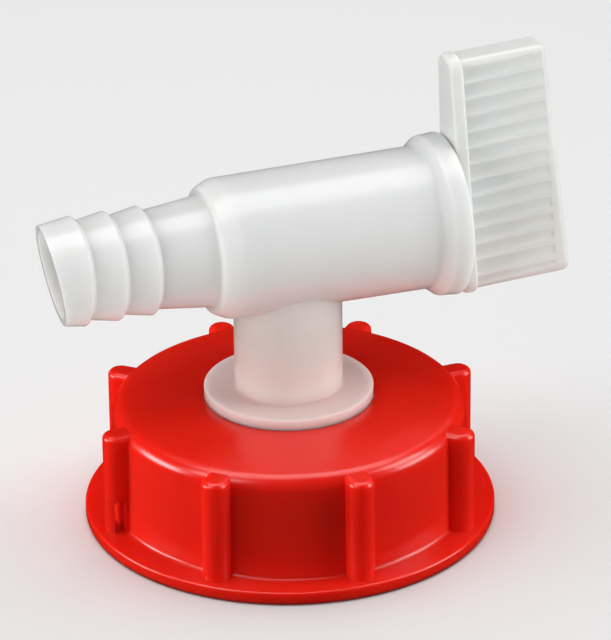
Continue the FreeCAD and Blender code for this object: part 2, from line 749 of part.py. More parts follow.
def add_grip(body):
    outline = make_sketch(body, "GripOutline", "YZ_Plane", "rim_thickness / 2")
    draw_paddle(outline, "grip_inset")
    pad(body, "Grip", outline, "grip_length + handle_foot * tan(grip_end_tilt) - rim_thickness / 2")
    end = make_sketch(body, "EndSide", "XZ_Plane")
    reach = "handle_top * 2"
    draw_polygon(end, [
        ("grip_length + %s * tan(grip_end_tilt)" % reach, "-(%s)" % reach),
        ("grip_length * 2", "-(%s)" % reach),
        ("grip_length * 2", reach),
        ("grip_length - %s * tan(grip_end_tilt)" % reach, reach),
    ])
    pocket(body, "EndCut", end, "handle_foot_width * 2", both_ways=True)
    face = max(body.Shape.Faces, key=lambda f: f.CenterOfMass.x)
    rim = [edge.CenterOfMass for edge in face.OuterWire.Edges]
    round_edges(body, "EndRound", lambda e: any(e.CenterOfMass.isEqual(point, 0.001) for point in rim),
                "grip_end_round")


def cut_flutes(body):
    """Rows of shallow flutes on both flanks, deepest at the rim and fading outwards."""
    chord, depth = value("flute_pitch - flute_land"), value("flute_depth")
    flute_radius = (chord * chord / 4 + depth * depth) / (2 * depth)
    start = value("first_flute")
    flank = value("handle_foot_width / 2 - grip_inset - flank_slope * (first_flute + handle_foot)")
    run = value("grip_length - rim_thickness - grip_end_round")
    fade = math.degrees(math.atan2(depth, run))
    cutter = body.newObject("PartDesign::SubtractiveCylinder", "Flute")
    cutter.Radius = flute_radius
    cutter.Height = value("grip_length + handle_top")
    cutter.AttachmentSupport = (origin_item(body, "YZ_Plane"), [""])
    cutter.MapMode = "FlatFace"
    centre = Vector(-(flank + flute_radius - depth), start, value("rim_thickness"))
    cutter.AttachmentOffset = Placement(centre, Rotation(Vector(0, 1, 0), -fade))
    document.recompute()
    guide = make_sketch(body, "FlankLine", "YZ_Plane")
    low = Vector(value("-handle_foot_width / 2"), value("-handle_foot"), 0)
    high = Vector(value("-handle_top_width / 2"), value("handle_top"), 0)
    guide.addGeometry(Part.LineSegment(low, high), True)
    pin(guide, 0, 1, "-handle_foot_width / 2", "-handle_foot")
    pin(guide, 0, 2, "-handle_top_width / 2", "handle_top")
    both = body.newObject("PartDesign::MultiTransform", "Flutes")
    both.Originals = [cutter]
    row = body.newObject("PartDesign::LinearPattern", "FluteRow")
    row.Direction = (guide, ["Axis0"])
    bind(row, "Length", "flute_pitch * (flute_count - 1)")
    bind(row, "Occurrences", "flute_count")
    other_flank = body.newObject("PartDesign::Mirrored", "OtherFlank")
    other_flank.MirrorPlane = (origin_item(body, "XZ_Plane"), [""])
    both.Transformations = [row, other_flank]
    body.Tip = both
    document.recompute()


def hollow_handle(body):
    """Core out the outer end, lighten the upper wing and open the socket for the tang."""
    wall = "grip_inset + handle_wall"
    front = make_sketch(body, "CoreOutline", "YZ_Plane", "grip_length * 2")
    draw_paddle(front, wall)
    pocket(body, "CoreFront", front, "grip_length * 2 - socket_depth")
    upper = make_sketch(body, "UpperCoreOutline", "YZ_Plane", "socket_depth + overrun")
    low = "tang_height / 2 + socket_wall"
    wide = "handle_foot_width / 2 - (%s) - (handle_foot + %s) * flank_slope" % (wall, low)
    narrow = "handle_top_width / 2 - (%s)" % wall
    top = "handle_top - (%s)" % wall
    draw_polygon(upper, [("-(%s)" % wide, low), (wide, low), (narrow, top), ("-(%s)" % narrow, top)])
    pocket(body, "CoreUpper", upper, "socket_depth + overrun - rim_thickness")
    socket = make_sketch(body, "SocketOutline", "YZ_Plane")
    side, end = "tang_width / 2 + tang_clearance", "tang_height / 2 + tang_clearance"
    draw_polygon(socket, [(side, end), ("-(%s)" % side, end), ("-(%s)" % side, "-(%s)" % end),
                          (side, "-(%s)" % end)])
    pocket(body, "Socket", socket, "socket_depth + overrun", backwards=True)


def make_o_ring(label, station):
    """Round seal that fills its groove in the plug."""
    ring = document.addObject("Part::Torus", label)
    ring.Label = label
    bind(ring, "Radius1", "plug_dia / 2 - ring_section / 2")
    bind(ring, "Radius2", "ring_section / 2")
    ring.Placement = Placement(Vector(value(station), 0, value("axis_height")), Rotation(Vector(0, 1, 0), 90))
    bind(ring, "Placement.Base.x", station)
    bind(ring, "Placement.Base.z", "axis_height")
    return ring


def check_and_write(parts):
    """Refuse a failed object or a bad solid, then write one file for each sub-part."""
    document.recompute()
    for thing in document.Objects:
        if {"Invalid", "Error"} & set(thing.State):
            raise ValueError(thing.Name + " failed")
    for part in parts:
        if part.Shape.isNull() or not part.Shape.isValid() or len(part.Shape.Solids) != 1:
            raise ValueError(part.Label + " is not one valid solid")
    os.makedirs("parts", exist_ok=True)
    for part in parts:
        part.Shape.exportStep("parts/%s.step" % part.Label)
        box = part.Shape.BoundBox
        print("%-16s %9.1f mm3  x %.2f..%.2f  y %.2f..%.2f  z %.2f..%.2f" % (
            part.Label, part.Shape.Volume, box.XMin, box.XMax, box.YMin, box.YMax, box.ZMin, box.ZMax))


def build():
    parts = [
        make_screw_cap(),
        make_swivel_insert(),
        make_ring("rim_gasket", "rim_gasket_bore", "insert_flange_dia",
                  "gasket_base", "rim_gasket_thickness"),
        make_ring("neck_seal", "neck_thread_dia + 2 * thread_clearance", "neck_seal_dia",
                  "shoulder_height - neck_seal_thickness", "neck_seal_thickness"),
        make_tap_body(),
        make_plug(),
        make_o_ring("front_o_ring", "-front_ring_position"),
        make_o_ring("rear_o_ring", "rear_ring_position"),
        make_handle(),
    ]
    check_and_write(parts)


build()
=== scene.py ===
import bmesh
import bpy
import math
from mathutils import Matrix, Vector


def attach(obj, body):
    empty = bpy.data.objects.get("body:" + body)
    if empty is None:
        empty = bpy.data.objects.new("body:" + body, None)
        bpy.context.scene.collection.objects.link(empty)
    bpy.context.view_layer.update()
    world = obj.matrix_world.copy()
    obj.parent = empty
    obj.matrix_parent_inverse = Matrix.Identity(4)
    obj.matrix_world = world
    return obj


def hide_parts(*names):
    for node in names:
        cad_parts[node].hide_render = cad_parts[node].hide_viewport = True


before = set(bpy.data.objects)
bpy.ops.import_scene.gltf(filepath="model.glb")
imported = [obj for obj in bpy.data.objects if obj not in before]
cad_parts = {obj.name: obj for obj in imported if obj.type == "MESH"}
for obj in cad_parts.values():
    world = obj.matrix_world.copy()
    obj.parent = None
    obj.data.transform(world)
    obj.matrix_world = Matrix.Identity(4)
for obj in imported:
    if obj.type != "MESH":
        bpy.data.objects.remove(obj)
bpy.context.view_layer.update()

# Plug cock for a drum: red screw cap, natural plastic tap, fluted handle.
# Lengths in capitals and in the lists of corners are millimetres, and MM makes them metres.
MM = 0.001
AXIS_HEIGHT = 56.2
SHOULDER_BASE = 24.1
TURN_STEPS = 144
CREASE = math.radians(32)
WELD = 1e-7
NECK_RINGS = 6.0
BARREL_RINGS = 4.0

PHOTO_HEIGHT = 640
FOCAL_PIXELS = 4676.23
SENSOR = 36.0
EYE_AZIMUTH = math.radians(-19.444)
EYE_ELEVATION = math.radians(25.834)
EYE_ROLL = math.radians(-0.582)
EYE_DISTANCE = 877.5
EYE_TARGET = Vector((3.49, 0.0, 38.63))


# ---------------------------------------------------------------- bench tools

def work_on(piece=None):
    """Put everything down, then take up one piece."""
    if bpy.context.object and bpy.context.object.mode != "OBJECT":
        bpy.ops.object.mode_set(mode="OBJECT")
    bpy.ops.object.select_all(action="DESELECT")
    if piece:
        piece.select_set(True)
        bpy.context.view_layer.objects.active = piece


def open_up(piece):
    """Take up a piece for edge and face work, with nothing picked."""
    work_on(piece)
    bpy.ops.object.mode_set(mode="EDIT")
    bpy.ops.mesh.select_all(action="DESELECT")


def pick(piece, kind, wanted):
    """Pick the vertices, edges or faces that pass a test."""
    bpy.ops.mesh.select_all(action="DESELECT")
    bpy.ops.mesh.select_mode(type=kind)
    bm = bmesh.from_edit_mesh(piece.data)
    bm.normal_update()
    for item in {"VERT": bm.verts, "EDGE": bm.edges, "FACE": bm.faces}[kind]:
        if wanted(item):
            item.select_set(True)
    bm.select_flush_mode()
    bmesh.update_edit_mesh(piece.data)


def at(place):
    """Test for a vertex at a place."""
    return lambda vertex: (vertex.co - place).length < 1e-6


def ends(edge):
    """Both ends of an edge, in millimetres."""
    return [vertex.co / MM for vertex in edge.verts]


def middle(edge):
    """The middle of an edge, in millimetres."""
    first, second = ends(edge)
    return (first + second) / 2


def fold(edge):
    """How sharply two faces meet: positive on a ridge, negative in a valley."""
    return edge.calc_face_angle_signed(0.0)


def draw_line(name, places, closed):
    """Draw a line from place to place, and join its ends if it is closed."""
    work_on()
    bpy.ops.mesh.primitive_plane_add(size=MM)
    piece = bpy.context.object
    piece.name = piece.data.name = name
    bpy.ops.object.mode_set(mode="EDIT")
    bpy.ops.mesh.select_mode(type="VERT")
    bpy.ops.mesh.select_all(action="SELECT")
    bpy.ops.mesh.merge(type="CENTER")
    bpy.ops.transform.translate(value=places[0])
    for near, far in zip(places, places[1:]):
        bpy.ops.mesh.extrude_region_move(TRANSFORM_OT_translate={"value": far - near})
    if closed:
        first, last = at(places[0]), at(places[-1])
        pick(piece, "VERT", lambda vertex: first(vertex) or last(vertex))
        bpy.ops.mesh.edge_face_add()
    return piece


def draw_section(name, corners, closed=True, above=0.0):
    """Draw a section in the XZ plane, and round the corners that ask for it.

    Each corner is X or radius, height, and a rounding where it has one.
    """
    places = [Vector((corner[0], 0.0, corner[1] + above)) * MM for corner in corners]
    piece = draw_line(name, places, closed)
    round_corners(piece, places, [corner[2] if len(corner) > 2 else 0.0 for corner in corners])
    return piece


def round_corners(piece, places, radii):
    """Round the corners of a loop of edges, each by its own radius in millimetres."""
    total = len(places)
    for number, radius in enumerate(radii):
        if not radius:
            continue
        place = places[number]
        ahead = places[(number + 1) % total] - place
        behind = places[number - 1] - place
        run = radius * MM / math.tan(ahead.angle(behind) / 2)
        pick(piece, "VERT", at(place))
        segments = max(3, round(radius * 3))
        bpy.ops.mesh.bevel(offset_type="OFFSET", offset=run, segments=segments, affect="VERTICES")


def spin_section(piece, axis, centre_height=0.0):
    """Spin a section all the way round, and close it up facing outwards."""
    centre = (0.0, 0.0, centre_height * MM)
    bpy.ops.mesh.select_all(action="SELECT")
    bpy.ops.mesh.spin(steps=TURN_STEPS, angle=math.tau, center=centre, axis=axis)
    bpy.ops.mesh.select_all(action="SELECT")
    bpy.ops.mesh.remove_doubles(threshold=WELD)
    bpy.ops.mesh.normals_make_consistent(inside=False)
    bpy.ops.object.mode_set(mode="OBJECT")


def cut_long_edges(piece, longest):
    """Divide the long edges of a section, so that a long wall has rings along it."""
    bm = bmesh.from_edit_mesh(piece.data)
    lengths = sorted({round(edge.calc_length() / MM, 4) for edge in bm.edges})
    for length in lengths:
        cuts = int(length / longest)
        if cuts:
            pick(piece, "EDGE", lambda edge: abs(edge.calc_length() / MM - length) < 0.001)
            bpy.ops.mesh.subdivide(number_cuts=cuts)


def turned_on_neck(name, corners, closed=False):
    """A form turned about the neck. Corners are radius, height and rounding."""
    piece = draw_section(name, corners, closed)
    cut_long_edges(piece, NECK_RINGS)
    spin_section(piece, (0, 0, 1))
    return piece


def turned_on_barrel(name, corners):
    """A form turned about the barrel. Corners are station along X, radius and rounding."""
    piece = draw_section(name, corners, closed=False, above=AXIS_HEIGHT)
    cut_long_edges(piece, BARREL_RINGS)
    spin_section(piece, (1, 0, 0), AXIS_HEIGHT)
    return piece


def block(name, low, high):
    """A plain block between two corners, to be shaped or used as a cutter."""
    work_on()
    low, high = Vector(low) * MM, Vector(high) * MM
    bpy.ops.mesh.primitive_cube_add(size=1.0, location=(low + high) / 2, scale=high - low)
    piece = bpy.context.object
    piece.name = piece.data.name = name
    bpy.ops.object.transform_apply(location=True, rotation=True, scale=True)
    return piece


def join(pieces):
    """Make the pieces one object, without welding them."""
    work_on(pieces[0])
    for piece in pieces[1:]:
        piece.select_set(True)
    bpy.ops.object.join()
    return pieces[0]


def copy_of(piece, turn, name):
    """A copy with a mesh of its own, moved or turned by a matrix."""
    twin = piece.copy()
    twin.data = piece.data.copy()
    twin.name = twin.data.name = name
    bpy.context.scene.collection.objects.link(twin)
    twin.data.transform(turn)
    return twin


def combine(piece, tool, operation):
    """Weld another solid on, or cut it away. The tool is used up."""
    work_on(piece)
    step = piece.modifiers.new("Weld", "BOOLEAN")
    step.operation, step.solver, step.object = operation, "EXACT", tool
    bpy.ops.object.modifier_apply(modifier=step.name)
    bpy.data.objects.remove(tool)


def ease(piece, wanted, radius, segments=3):
    """Round the picked edges of a finished solid."""
    open_up(piece)
    pick(piece, "EDGE", wanted)
    bpy.ops.mesh.bevel(offset_type="OFFSET", offset=radius * MM, segments=segments, profile=0.5,
                       affect="EDGES", clamp_overlap=True)
    bpy.ops.object.mode_set(mode="OBJECT")


def finish_piece(piece, finish, slot, body, *nodes):
    """Smooth a piece, give it its finish, and let it ride on its body in place of CAD nodes."""
    work_on(piece)
    bpy.ops.object.mode_set(mode="EDIT")
    bpy.ops.mesh.select_all(action="SELECT")
    bpy.ops.mesh.remove_doubles(threshold=WELD)
    bpy.ops.mesh.dissolve_degenerate(threshold=WELD)
    bpy.ops.object.mode_set(mode="OBJECT")
    bpy.ops.object.shade_smooth_by_angle(angle=CREASE)
    step = piece.modifiers.new("Even shading", "WEIGHTED_NORMAL")
    step.keep_sharp = True
    bpy.ops.object.modifier_apply(modifier=step.name)
    piece.data.materials.clear()
    piece.data.materials.append(finish)
    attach(piece, body)
    if nodes:
        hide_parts(*nodes)
    return piece


# ---------------------------------------------------------------- finishes

def new_finish(name):
    """A new material with its node tree and its shader."""
    finish = bpy.data.materials.new(name)
    finish.use_nodes = True
    tree = finish.node_tree
    shader = tree.nodes["Principled BSDF"]
    return finish, tree, shader


def node(tree, kind, **values):
    """A new node. Each value sets a property of that name, or else an input socket."""
    made = tree.nodes.new(kind)
    for name, value in values.items():
        if hasattr(made, name):
            setattr(made, name, value)
        else:
            made.inputs[name.replace("_", " ")].default_value = value
    return made


def mottle(tree, scale, detail=3.0, rough=0.5):
    """Noise on the piece's own coordinates, scale in waves per metre."""
    place = node(tree, "ShaderNodeTexCoord")
    noise = node(tree, "ShaderNodeTexNoise", Scale=scale, Detail=detail, Roughness=rough)
    tree.links.new(place.outputs["Object"], noise.inputs["Vector"])
    return noise.outputs["Fac"]


def blend_colours(tree, factor, colours):
    """Blend two colours over the middle of a 0 to 1 factor."""
    ramp = node(tree, "ShaderNodeValToRGB")
    for stop, place, colour in zip(ramp.color_ramp.elements, (0.3, 0.7), colours):
        stop.position, stop.color = place, (*colour, 1.0)
    tree.links.new(factor, ramp.inputs["Fac"])
    return ramp.outputs["Color"]


def spread(tree, factor, low, high):
    """Map a 0 to 1 factor onto a range."""
    span = node(tree, "ShaderNodeMapRange")
    span.inputs["To Min"].default_value, span.inputs["To Max"].default_value = low, high
    tree.links.new(factor, span.inputs["Value"])
    return span.outputs["Result"]


def relief(tree, shader, layers):
    """Stack bumps: each layer is a height, its distance in metres and its strength."""
    normal = None
    for height, distance, strength in layers:
        bump = node(tree, "ShaderNodeBump", Distance=distance, Strength=strength)
        tree.links.new(height, bump.inputs["Height"])
        if normal:
            tree.links.new(normal, bump.inputs["Normal"])
        normal = bump.outputs["Normal"]
    tree.links.new(normal, shader.inputs["Normal"])


def moulded_plastic(name, colours, rough, glow, depth, cloud, grain=0.35, cap_bounce_tints=()):
    """Injection moulded plastic: soft clouding, an uneven gloss and a faint skin.

    The glow is how much light goes in, and the depth how far each colour gets, in millimetres.
    """
    finish, tree, shader = new_finish(name)
    clouding = mottle(tree, cloud, 4.0, 0.55)
    colour = blend_colours(tree, clouding, colours)
    # Painted red bounce light from the cap, multiplied into the colour by height.
    if cap_bounce_tints:
        colour = paint_cap_bounce(tree, colour, cap_bounce_tints)
    tree.links.new(colour, shader.inputs["Base Color"])
    gloss = mottle(tree, 420.0, 3.0, 0.6)
    tree.links.new(spread(tree, gloss, *rough), shader.inputs["Roughness"])
    shader.inputs["Subsurface Weight"].default_value = glow
    shader.inputs["Subsurface Radius"].default_value = depth
    shader.inputs["Subsurface Scale"].default_value = MM
    shader.inputs["IOR"].default_value = 1.5
    skin = mottle(tree, 1500.0, 2.0, 0.5)
    flow = mottle(tree, 160.0, 2.0, 0.4)
    relief(tree, shader, [(flow, 0.0004, grain * 0.4), (skin, 0.00004, grain)])
    return finish


def paint_cap_bounce(tree, colour, cap_bounce_tints):
    """Painted red bounce light from the cap: a pink tint multiplied into the milky plastic's
    colour, strongest just above the cap and less of it higher up.

    The cap bounce tints are a list of heights in millimetres, each with its painted tint.
    """
    place = node(tree, "ShaderNodeTexCoord")
    split = node(tree, "ShaderNodeSeparateXYZ")
    tree.links.new(place.outputs["Object"], split.inputs["Vector"])
    lowest, highest = cap_bounce_tints[0][0], cap_bounce_tints[-1][0]
    rise = node(tree, "ShaderNodeMapRange")
    rise.inputs["From Min"].default_value = lowest * MM
    rise.inputs["From Max"].default_value = highest * MM
    tree.links.new(split.outputs["Z"], rise.inputs["Value"])
    ramp = node(tree, "ShaderNodeValToRGB")
    ramp.color_ramp.interpolation = "EASE"
    stops = ramp.color_ramp.elements
    for height, _ in cap_bounce_tints[1:-1]:
        stops.new((height - lowest) / (highest - lowest))
    for stop, (_, tint) in zip(stops, cap_bounce_tints):
        stop.color = (*tint, 1.0)
    tree.links.new(rise.outputs["Result"], ramp.inputs["Fac"])
    # Multiply the painted red bounce tint into the plastic's own colour.
    mix = node(tree, "ShaderNodeMix", data_type="RGBA", blend_type="MULTIPLY")
    mix.inputs["Factor"].default_value = 1.0
    tree.links.new(colour, mix.inputs["A"])
    tree.links.new(ramp.outputs["Color"], mix.inputs["B"])
    return mix.outputs["Result"]


def cap_red():
    return moulded_plastic(
        "cap_red_polyethylene", [(0.77, 0.0145, 0.006), (0.85, 0.019, 0.009)], rough=(0.20, 0.28),
        glow=0.9, depth=(5.0, 0.3, 0.15), cloud=45.0, grain=0.15)


def natural_white():
    # Painted red bounce light from the cap: white below 19 mm, pinkest at the shoulder's base,
    # fading to white at 62 mm.
    cap_bounce_tints = [(19.0, (1.0, 1.0, 1.0)), (SHOULDER_BASE, (1.0, 0.69, 0.67)),
              (26.4, (1.0, 0.76, 0.74)), (29.0, (1.0, 0.88, 0.84)), (38.0, (1.0, 0.93, 0.89)),
              (47.0, (1.0, 0.96, 0.92)), (54.0, (1.0, 0.99, 0.965)), (62.0, (1.0, 1.0, 1.0))]
    return moulded_plastic(
        "natural_polyethylene", [(0.82, 0.83, 0.81), (0.86, 0.87, 0.85)], rough=(0.17, 0.26),
        glow=1.0, depth=(5.0, 4.8, 4.7), cloud=55.0, grain=0.2, cap_bounce_tints=cap_bounce_tints)


def plug_white():
    return moulded_plastic(
        "plug_polyethylene", [(0.70, 0.71, 0.69), (0.75, 0.76, 0.74)], rough=(0.34, 0.44),
        glow=0.6, depth=(4.0, 3.2, 2.8), cloud=70.0)


def handle_white():
    # Painted red bounce light from the cap: a faint pink low on the handle, fading to white at 60
    # mm.
    cap_bounce_tints = [(40.0, (1.0, 0.93, 0.91)), (50.0, (1.0, 0.98, 0.97)), (60.0, (1.0, 1.0, 1.0))]
    return moulded_plastic(
        "handle_polyethylene", [(0.77, 0.785, 0.765), (0.81, 0.825, 0.805)], rough=(0.32, 0.42),
        glow=1.0, depth=(1.8, 1.6, 1.5), cloud=80.0, cap_bounce_tints=cap_bounce_tints)


def seal_black():
    return moulded_plastic(
        "seal_rubber", [(0.018, 0.018, 0.019), (0.035, 0.035, 0.036)], rough=(0.5, 0.68),
        glow=0.0, depth=(1.0, 1.0, 1.0), cloud=220.0, grain=0.7)


# ---------------------------------------------------------------- screw cap

CAP_WALL_FOOT = 33.75
CAP_WALL_HEAD = 33.45
CAP_SHOULDER = 22.95
CAP_CROWN = 24.15
CAP_HOLE = 16.05
CAP_CEILING = 20.8
INSERT_RECESS = 28.4
GASKET_SEAT = 14.8
FLANGE = 39.0
FLANGE_TOP = 2.4
BORE = 30.2
LUG_COUNT = 8
LUG_PHASE = math.radians(2.6)
LUG_HALF_WIDTH = 2.5
LUG_ROOT = 30.85
LUG_FOOT = 1.2
LUG_TOP = 22.55
LUG_NOSE = 37.4
LUG_EASE = 2.1
NOSE_SHARE = 0.98
SLOT = (-36.3, -34.2)
SLOT_TOP = 9.2
SLOT_ROUND = 0.98
THREAD_PITCH = 6.0
THREAD_TURNS = 1.9
THREAD_START = 2.2
THREAD_CREST = 28.95
THREAD_STEPS = 150
THREAD_ROOT = BORE + 0.25


def make_screw_cap(finish):
    """Shell turned as one section, with eight lugs welded on and one of them slotted."""
    cap = turned_on_neck("screw_cap_shell", [
        (BORE, 0.0, 0.3),
        (FLANGE, 0.0, 0.5),
        (FLANGE, FLANGE_TOP, 0.45),
        (CAP_WALL_FOOT, FLANGE_TOP, 0.8),
        (CAP_WALL_HEAD, CAP_SHOULDER, 2.8),
        (26.5, 23.62, 8.0),
        (CAP_HOLE, CAP_CROWN, 0.12),
        (CAP_HOLE, CAP_CEILING, 0.3),
        (INSERT_RECESS, CAP_CEILING, 0.6),
        (INSERT_RECESS, GASKET_SEAT, 0.3),
        (BORE, GASKET_SEAT, 0.2),
    ], closed=True)
    lug = shape_lug()
    for number in range(LUG_COUNT):
        turn = Matrix.Rotation(math.tau * number / LUG_COUNT, 4, "Z")
        twin = copy_of(lug, turn, "lug_%d" % number)
        if number == LUG_COUNT // 2:
            combine(twin, seal_slot_cutter(), "DIFFERENCE")
        combine(cap, twin, "UNION")
    bpy.data.objects.remove(lug)
    ease(cap, beside_lug, 0.5)
    cap.data.transform(Matrix.Rotation(LUG_PHASE, 4, "Z"))
    return finish_piece(cap, finish, "cap_red", "cap", "screw_cap")


def shape_lug():
    """One lug on the +X side: a bar with a half-round nose and an eased top."""
    lug = block("lug", (LUG_ROOT, -LUG_HALF_WIDTH, LUG_FOOT), (LUG_NOSE, LUG_HALF_WIDTH, LUG_TOP))
    ease(lug, at_nose, LUG_HALF_WIDTH * NOSE_SHARE, 9)
    ease(lug, round_lug_top, LUG_EASE, 7)
    return lug


def at_nose(edge):
    """The two upright edges of a lug's nose."""
    spot = middle(edge)
    return spot.x > LUG_NOSE - 0.01 and abs(spot.y) > LUG_HALF_WIDTH - 0.1


def round_lug_top(edge):
    """The rim of a lug's top, apart from the edge inside the wall."""
    level = min(end.z for end in ends(edge)) > LUG_TOP - 0.01
    return level and middle(edge).x > LUG_ROOT + 0.15 and fold(edge) > 0.5


def seal_slot_cutter():
    """Round-headed slot through one lug, close to the wall, for a seal wire."""
    slot = block("seal_slot", (SLOT[0], -4.0, FLANGE_TOP), (SLOT[1], 4.0, SLOT_TOP))
    ease(slot, lambda edge: middle(edge).z > SLOT_TOP - 0.1 and abs(middle(edge).y) < 0.1,
         SLOT_ROUND, 6)
    return slot


def beside_lug(edge):
    """Valleys where a lug meets the wall or the flange."""
    spot = middle(edge)
    if fold(edge) > -0.5 or not FLANGE_TOP - 0.1 < spot.z < LUG_TOP - 1.2:
        return False
    step = 360.0 / LUG_COUNT
    off = (math.degrees(math.atan2(spot.y, spot.x)) + step / 2) % step - step / 2
    reach = math.hypot(spot.x, spot.y)
    aside = abs(reach * math.sin(math.radians(off)))
    return reach > 33.0 and abs(aside - LUG_HALF_WIDTH) < 0.3


def make_cap_thread(finish):
    """Coarse buttress thread for the container's neck, let a little into the cap's wall."""
    ridge = draw_section("cap_thread", [
        (THREAD_ROOT, 0.0), (BORE, 0.0), (THREAD_CREST, 1.5),
        (THREAD_CREST, 2.3), (BORE, 3.1), (THREAD_ROOT, 3.1),
    ])
    bpy.ops.object.mode_set(mode="OBJECT")
    step = ridge.modifiers.new("Helix", "SCREW")
    step.angle, step.screw_offset = math.tau * THREAD_TURNS, THREAD_PITCH * THREAD_TURNS * MM
    step.steps = step.render_steps = THREAD_STEPS
    step.use_merge_vertices = False
    work_on(ridge)
    bpy.ops.object.modifier_apply(modifier=step.name)
    open_up(ridge)
    pick(ridge, "EDGE", lambda edge: edge.is_boundary)
    bpy.ops.mesh.edge_face_add()
    bpy.ops.mesh.select_all(action="SELECT")
    bpy.ops.mesh.remove_doubles(threshold=WELD)
    bpy.ops.mesh.normals_make_consistent(inside=False)
    bpy.ops.transform.translate(value=(0.0, 0.0, THREAD_START * MM))
    bpy.ops.object.mode_set(mode="OBJECT")
    return finish_piece(ridge, finish, "cap_red", "cap")


# ---------------------------------------------------------------- tap body

TAIL_BLANK_END = -48.5
BARB_PEAKS = (-40.9, -34.45, -28.0)
BARB = 10.25
BARB_FALL = 1.05
TAIL = 9.25
TAIL_MOUTH = 9.16
TAIL_BORE = 8.1
MOUTH = Vector((-45.8, 0.0, AXIS_HEIGHT))
MOUTH_TURN = (Matrix.Rotation(math.radians(-3.9), 4, "Z")
              @ Matrix.Rotation(math.radians(-9.3), 4, "Y"))
BARREL_BACK = -16.3
COLLAR_END = 31.6
COLLAR_RECESS = 29.1
RECESS = 13.2
PLUG_SEAT = -12.7
PLUG_BORE = 11.0
SNAP_GROOVE = (21.4, 22.8, 24.2)
SNAP_DEPTH = 0.65
NECK = 10.2
INLET = 7.6
STUB = 13.2
STUB_END = 15.1
SHOULDER = 16.0
SHOULDER_TOP = 26.2
NECK_REACH = 50.0


def make_tap_body(finish):
    """Barbed tail, barrel and collar turned on one axis, with the neck welded under them."""
    barbs = []
    for peak in BARB_PEAKS:
        barbs += [(peak, BARB, 0.45), (peak + BARB_FALL, TAIL, 0.15)]
    tap = turned_on_barrel("tap_body_shell", [
        (TAIL_BLANK_END, 0.0), (TAIL_BLANK_END, TAIL_MOUTH), *barbs,
        (BARREL_BACK, 10.5, 0.4),
        (BARREL_BACK, 11.8, 1.2),
        (BARREL_BACK + 2.9, 13.2, 4.0),
        (25.9, 13.5, 1.0),
        (28.0, 15.2, 1.0),
        (29.8, 15.3, 3.0),
        (COLLAR_END, 15.5, 0.45),
        (COLLAR_END, 0.0),
    ])
    neck = turned_on_neck("neck", [
        (0.0, STUB_END), (STUB, STUB_END, 0.6), (STUB, SHOULDER_BASE),
        (SHOULDER, SHOULDER_BASE, 0.06), (SHOULDER, SHOULDER_TOP, 0.3),
        (NECK, SHOULDER_TOP, 0.5), (NECK, NECK_REACH), (0.0, NECK_REACH),
    ])
    combine(tap, neck, "UNION")
    bore = turned_on_barrel("bore", [
        (-55.0, 0.0), (-55.0, TAIL_BORE), (PLUG_SEAT, TAIL_BORE), (PLUG_SEAT, PLUG_BORE),
        (SNAP_GROOVE[0], PLUG_BORE), (SNAP_GROOVE[1], PLUG_BORE + SNAP_DEPTH),
        (SNAP_GROOVE[2], PLUG_BORE), (COLLAR_RECESS, PLUG_BORE), (COLLAR_RECESS, RECESS),
        (34.0, RECESS), (34.0, 0.0),
    ])
    combine(tap, bore, "DIFFERENCE")
    inlet = turned_on_neck("inlet", [(0.0, 12.0), (INLET, 12.0), (INLET, 50.7), (0.0, 50.7)])
    combine(tap, inlet, "DIFFERENCE")
    combine(tap, mouth_cutter(), "DIFFERENCE")
    ease(tap, lambda edge: on_mouth(edge) and off_axis(edge) > 9.0, 1.0, 5)
    ease(tap, lambda edge: on_mouth(edge) and off_axis(edge) < TAIL_BORE + 0.1, 0.35)
    ease(tap, under_barrel, 0.6)
    return finish_piece(tap, finish, "natural_plastic", "tap", "tap_body")


def mouth_cutter():
    """Block that leaves the hose end slanted, and turned a little away from the front."""
    cutter = block("mouth_cutter", (-20.0, -20.0, -30.0), (0.0, 20.0, 30.0))
    cutter.data.transform(Matrix.Translation(MOUTH * MM) @ MOUTH_TURN)
    return cutter


def off_axis(edge):
    """How far an edge lies from the barrel's axis."""
    spot = middle(edge)
    return math.hypot(spot.y, spot.z - AXIS_HEIGHT)


def on_mouth(edge):
    """The rims of the slanted mouth."""
    across = MOUTH_TURN.to_3x3() @ Vector((1.0, 0.0, 0.0))
    return abs((middle(edge) - MOUTH).dot(across)) < 0.02 and fold(edge) > 0.5


def under_barrel(edge):
    """The valley where the neck runs into the barrel."""
    spot = middle(edge)
    on_neck = abs(math.hypot(spot.x, spot.y) - NECK) < 0.05
    return on_neck and abs(off_axis(edge) - 13.35) < 0.3 and spot.z < AXIS_HEIGHT


# ---------------------------------------------------------------- handle

RAKE = math.radians(2.9)
SEAT = 32.7
HANDLE_FOOT = -15.5
HANDLE_TOP = 32.1
FOOT_HALF = 6.9
FOOT_ROUND = 3.6
TOP_HALF = 3.5
RIM = 2.4
GRIP_INSET = 0.6
GRIP_START = 1.2
GRIP_LENGTH = 20.8
GRIP_TILT = math.radians(2.9)
WALL = 2.2
CORE_START = 11.5
SOCKET_DEPTH = 12.5
UPPER_CORE_FOOT = 9.7
FLUTE_PITCH = 3.2
FLUTE_CHORD = 3.08
FLUTE_DEPTH = 0.6
FLUTE_START = 1.0
FLUTE_RUN = 17.4
FLUTE_END_SHARE = (1.0, 0.12, 0.55)
FIRST_FLUTE = -12.8
FLUTE_COUNT = 14


